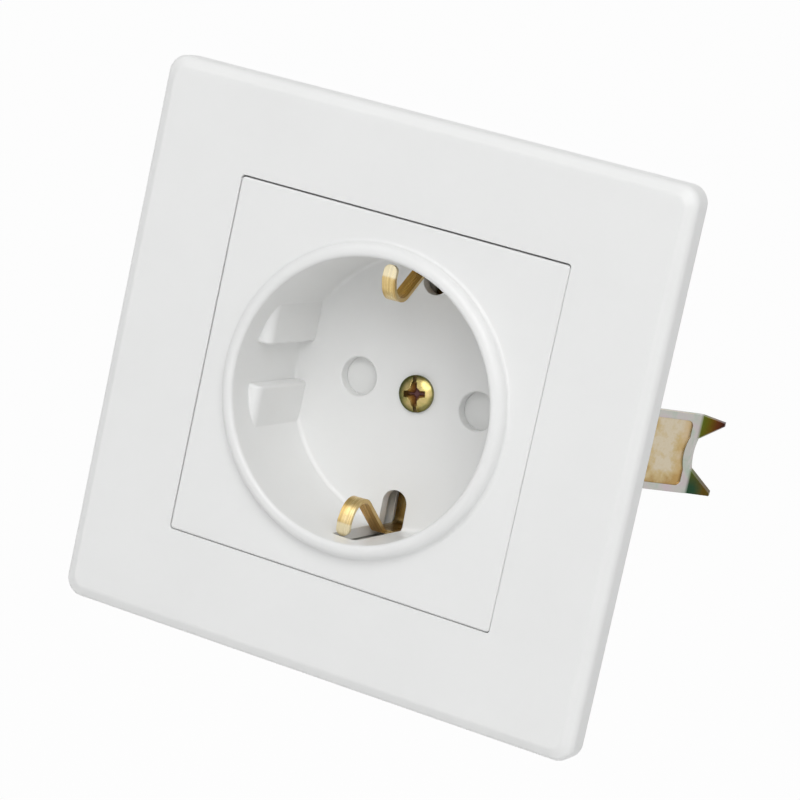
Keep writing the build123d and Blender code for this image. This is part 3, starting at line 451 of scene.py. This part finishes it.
def claw_zinc(name):
    """Claw: pale border, cream panel that turns darker towards the bottom with a tan painted shade at its
    end, teeth from green to red-brown, the lower one from teal to olive.
    """
    g = Graph(name)
    place = g.place()
    x, y, z = g.axes(place)
    out_x = g.math("SUBTRACT", g.math("ABSOLUTE", x), FOLD_X)
    out_y = g.math("SUBTRACT", y, FOLD_Y)

    def combined(share_x, share_y):
        return g.math("MULTIPLY_ADD", out_x, share_x, g.math("MULTIPLY", out_y, share_y))

    along_blade = combined(math.sin(BLADE_ANGLE), math.cos(BLADE_ANGLE))
    off_blade = combined(math.cos(BLADE_ANGLE), -math.sin(BLADE_ANGLE))
    along_tooth = combined(math.sin(TOOTH_ANGLE), math.cos(TOOTH_ANGLE))
    drift = g.noise(place, CLAW_DRIFT, distortion=0.8)
    stains = g.noise(place, CLAW_STAINS, detail=5.0, roughness=0.65)
    grain = g.noise(place, CLAW_GRAIN)

    # Stains shifted darker and browner towards the bottom
    stains_darker_low = g.math("ADD", g.span(z, *DARKENING_HEIGHT, *DARKENING_SHIFT), stains)
    # Painted shade: tan towards the panel's end
    panel_and_shade = g.mix(g.span(along_blade, *TAN_SHADE_ALONG, to_high=TAN_SHADE_SHARE), g.ramp(stains_darker_low, *CLAW_CREAM), TAN_PAINTED_SHADE)
    pressed = g.math("MULTIPLY", g.span(off_blade, *PANEL_BACK), g.span(off_blade, *PANEL_FRONT))
    in_panel = g.math("MULTIPLY", pressed, g.span(along_blade, *PANEL_END))
    skin = g.mix(in_panel, g.ramp(drift, *CLAW_BORDER), panel_and_shade)

    shine = g.math("MULTIPLY_ADD", drift, TOOTH_DRIFT, along_tooth)
    lower = g.span(z, *LOWER_TOOTH)
    root = g.math("MULTIPLY", lower, g.span(shine, *TEAL_SPAN))
    tooth = g.ramp(g.span(shine, *TOOTH_SPAN), *TOOTH)
    tooth = g.mix(g.math("MULTIPLY", lower, OLIVE_SHARE), tooth, TOOTH_OLIVE)
    tooth = g.mix(g.math("MULTIPLY", root, TEAL_SHARE), tooth, TOOTH_TEAL)

    g.relief(grain, STEEL_RELIEF, FINE_RELIEF, METAL_EDGE)
    g.constant(Metallic=1.0)
    return g.finish(g.mix(g.span(along_tooth, *TOOTH_START), skin, tooth), g.gloss(grain, CLAW_GLOSS))


def make_spring(side):
    """Coil that stands for a solid spring: a copy of its mesh on the socket's body, with the solid hidden.
    """
    solid = f"{side}_shutter_spring"
    coil = bpy.data.objects.new(f"{side}_spring_coil", nodes[solid].data.copy())
    bpy.context.scene.collection.objects.link(coil)
    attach(coil, "socket")
    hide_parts(solid)
    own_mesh(coil)


def seen_directly(tree):
    """1 for rays from the camera, off a shiny surface or through glass, else 0."""
    path = tree.nodes.new("ShaderNodeLightPath")
    seen = path.outputs["Is Camera Ray"]
    for other in ("Is Glossy Ray", "Is Transmission Ray"):
        either = tree.nodes.new("ShaderNodeMath")
        either.operation = "MAXIMUM"
        tree.links.new(seen, either.inputs[0])
        tree.links.new(path.outputs[other], either.inputs[1])
        seen = either.outputs[0]
    return seen


def blend_shaders(tree, factor, first, second, target):
    """Two shaders, mixed by the factor, as the surface of the target."""
    blend = tree.nodes.new("ShaderNodeMixShader")
    tree.links.new(factor, blend.inputs["Fac"])
    tree.links.new(first, blend.inputs[1])
    tree.links.new(second, blend.inputs[2])
    tree.links.new(blend.outputs["Shader"], target.inputs["Surface"])


def make_floor():
    """Pale floor that keeps shadows but is seen as white where it is lit."""
    half = FLOOR_SIZE / 2
    mesh = bpy.data.meshes.new("floor")
    corners = [(-half, -half), (half, -half), (half, half), (-half, half)]
    mesh.from_pydata([(x, y, FLOOR_LEVEL) for x, y in corners], [], [(0, 1, 2, 3)])
    floor = bpy.data.objects.new("floor", mesh)
    bpy.context.scene.collection.objects.link(floor)
    g = Graph("floor_white")
    dark, light = FLOOR_WHITE
    clouds = g.noise(g.place(), FLOOR_CLOUDS)
    g.finish(g.ramp(clouds, (g.NOISE_LOW, dark), (g.NOISE_HIGH, light)), FLOOR_ROUGHNESS)
    glow = g.node("ShaderNodeEmission")
    white_share = g.math("MULTIPLY", seen_directly(g.tree), FLOOR_GLOW)
    output = g.tree.nodes["Material Output"]
    blend_shaders(g.tree, white_share, g.shader.outputs["BSDF"], glow.outputs["Emission"], output)
    mesh.materials.append(g.material)


def make_world():
    """White for what sees it directly or in a mirror, a plain ambient level for the rest."""
    world = bpy.data.worlds.new("studio")
    bpy.context.scene.world = world
    world.use_nodes = True
    tree = world.node_tree
    ambient = tree.nodes["Background"]
    white = tree.nodes.new("ShaderNodeBackground")
    for background, strength in ((ambient, AMBIENT), (white, 1.0)):
        background.inputs["Color"].default_value = (1.0, 1.0, 1.0, 1.0)
        background.inputs["Strength"].default_value = strength
    shown = [background.outputs["Background"] for background in (ambient, white)]
    blend_shaders(tree, seen_directly(tree), *shown, tree.nodes["World Output"])


def make_lamp(name, place, size, watts):
    """Round lamp that faces the object."""
    lamp = bpy.data.lights.new(name, "AREA")
    lamp.shape = "DISK"
    lamp.size = size
    lamp.energy = watts
    holder = bpy.data.objects.new(name, lamp)
    holder.location = place
    holder.rotation_euler = Vector(place).to_track_quat("Z", "Y").to_euler()
    bpy.context.scene.collection.objects.link(holder)


def make_camera():
    """The photograph's camera."""
    lens = bpy.data.cameras.new("photo_camera")
    lens.sensor_width = SENSOR_MM
    lens.lens = SENSOR_MM * FOCAL_PIXELS / FRAME_PIXELS
    lens.clip_start = CAMERA_NEAR
    lens.clip_end = CAMERA_FAR
    camera = bpy.data.objects.new("photo_camera", lens)
    axes = Matrix((CAMERA_RIGHT, -CAMERA_DOWN, -CAMERA_FORWARD)).transposed()
    camera.matrix_world = Matrix.Translation(CAMERA_PLACE) @ axes.to_4x4()
    bpy.context.scene.collection.objects.link(camera)
    bpy.context.scene.camera = camera


FINISHES = {
    plastic("white_gloss", GLOSS_WHITE, GLOSSY, PLASTIC_EDGE): ("outer_frame", "centre_plate"),
    plastic("white_satin", SATIN_WHITE, SATIN, SHUTTER_EDGE): ("safety_shutter",),
    plastic("base_matte", BASE_WHITE, MATTE, PLASTIC_EDGE): ("socket_base",),
    drawn_brass("drawn_brass"): ("earth_bridge", "right_contact", "left_contact"),
    centre_zinc("centre_zinc"): ("centre_screw",),
    yellow_zinc("yellow_zinc"): ("right_claw_screw", "left_claw_screw"),
    claw_zinc("claw_zinc"): ("right_claw", "left_claw"),
    bright_steel("spring_wire", WIRE_GREY, WIRE_GRAIN): ("left_shutter_spring", "right_shutter_spring"),
    bright_steel("bright_zinc", ZINC_GREY, SHEET_GRAIN): (
        "mounting_strap", "strap_rivets",
        "right_claw_nut", "left_claw_nut", "right_claw_pin", "left_claw_pin",
        "right_terminal_screw", "left_terminal_screw", "earth_terminal_screw",
        "right_clamp_washer", "left_clamp_washer", "earth_clamp_washer",
    ),
}
for material, names in FINISHES.items():
    for name in names:
        nodes[name].data.materials.clear()
        nodes[name].data.materials.append(material)

make_spring("left")
make_spring("right")
make_floor()
make_world()
for lamp in LAMPS:
    make_lamp(*lamp)
make_camera()
bpy.context.scene.view_settings.view_transform = "Standard"
